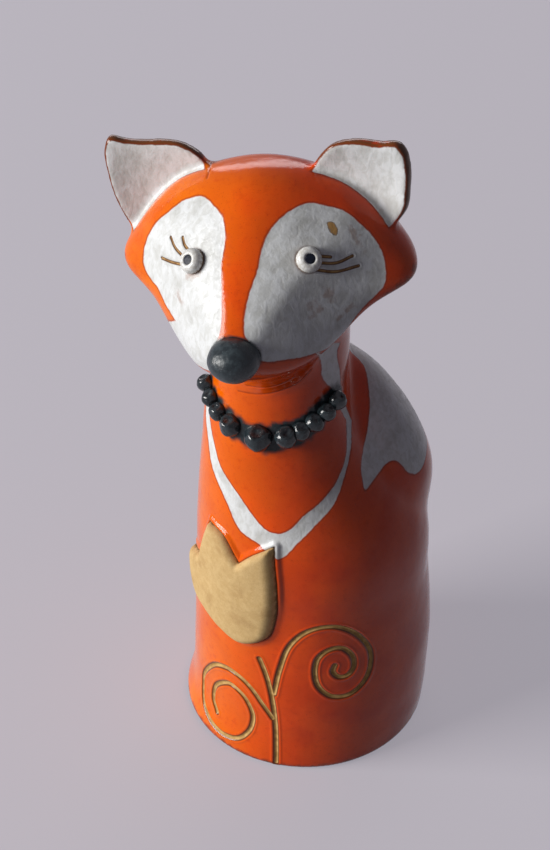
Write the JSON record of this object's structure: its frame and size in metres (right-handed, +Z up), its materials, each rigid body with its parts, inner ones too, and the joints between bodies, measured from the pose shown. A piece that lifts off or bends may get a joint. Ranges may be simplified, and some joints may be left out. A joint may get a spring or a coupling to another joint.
{
  "type": "fox figurine",
  "caption": "Hand-built glazed ceramic fox that sits upright: hollow cone body, broad cheeked head with raised ears, bead necklace, tail curled up the side and a bare clay tulip on the chest.",
  "frame": {"origin": "centre of the round foot, on the surface that the fox stands on", "axes": "+Z up through the head, the fox looks along -Y, +X is the fox's own left"},
  "size_m": [0.0845, 0.0926, 0.1898],
  "materials": {
    "orange_glaze": "glossy orange glaze that breaks darker where it pools",
    "white_glaze": "brushed satin white glaze with streaks and worn brown edges",
    "slate_glaze": "glossy blue-black glaze",
    "bare_clay": "matte bare fired clay, lightly grained"
  },
  "bodies": {
    "root": {"foot": "orange_glaze", "body": "orange_glaze", "head": "orange_glaze", "tail": "orange_glaze", "ear_left": "white_glaze", "ear_right": "white_glaze", "eye_left": "white_glaze", "eye_right": "white_glaze", "pupil_left": "slate_glaze", "pupil_right": "slate_glaze", "nose": "slate_glaze", "bead_front": "slate_glaze", "bead_right_1": "slate_glaze", "bead_right_2": "slate_glaze", "bead_right_3": "slate_glaze", "bead_right_4": "slate_glaze", "bead_left_1": "slate_glaze", "bead_left_2": "slate_glaze", "bead_left_3": "slate_glaze", "bead_left_4": "slate_glaze", "bead_left_5": "slate_glaze", "tulip": "bare_clay"}
  },
  "joints": []
}
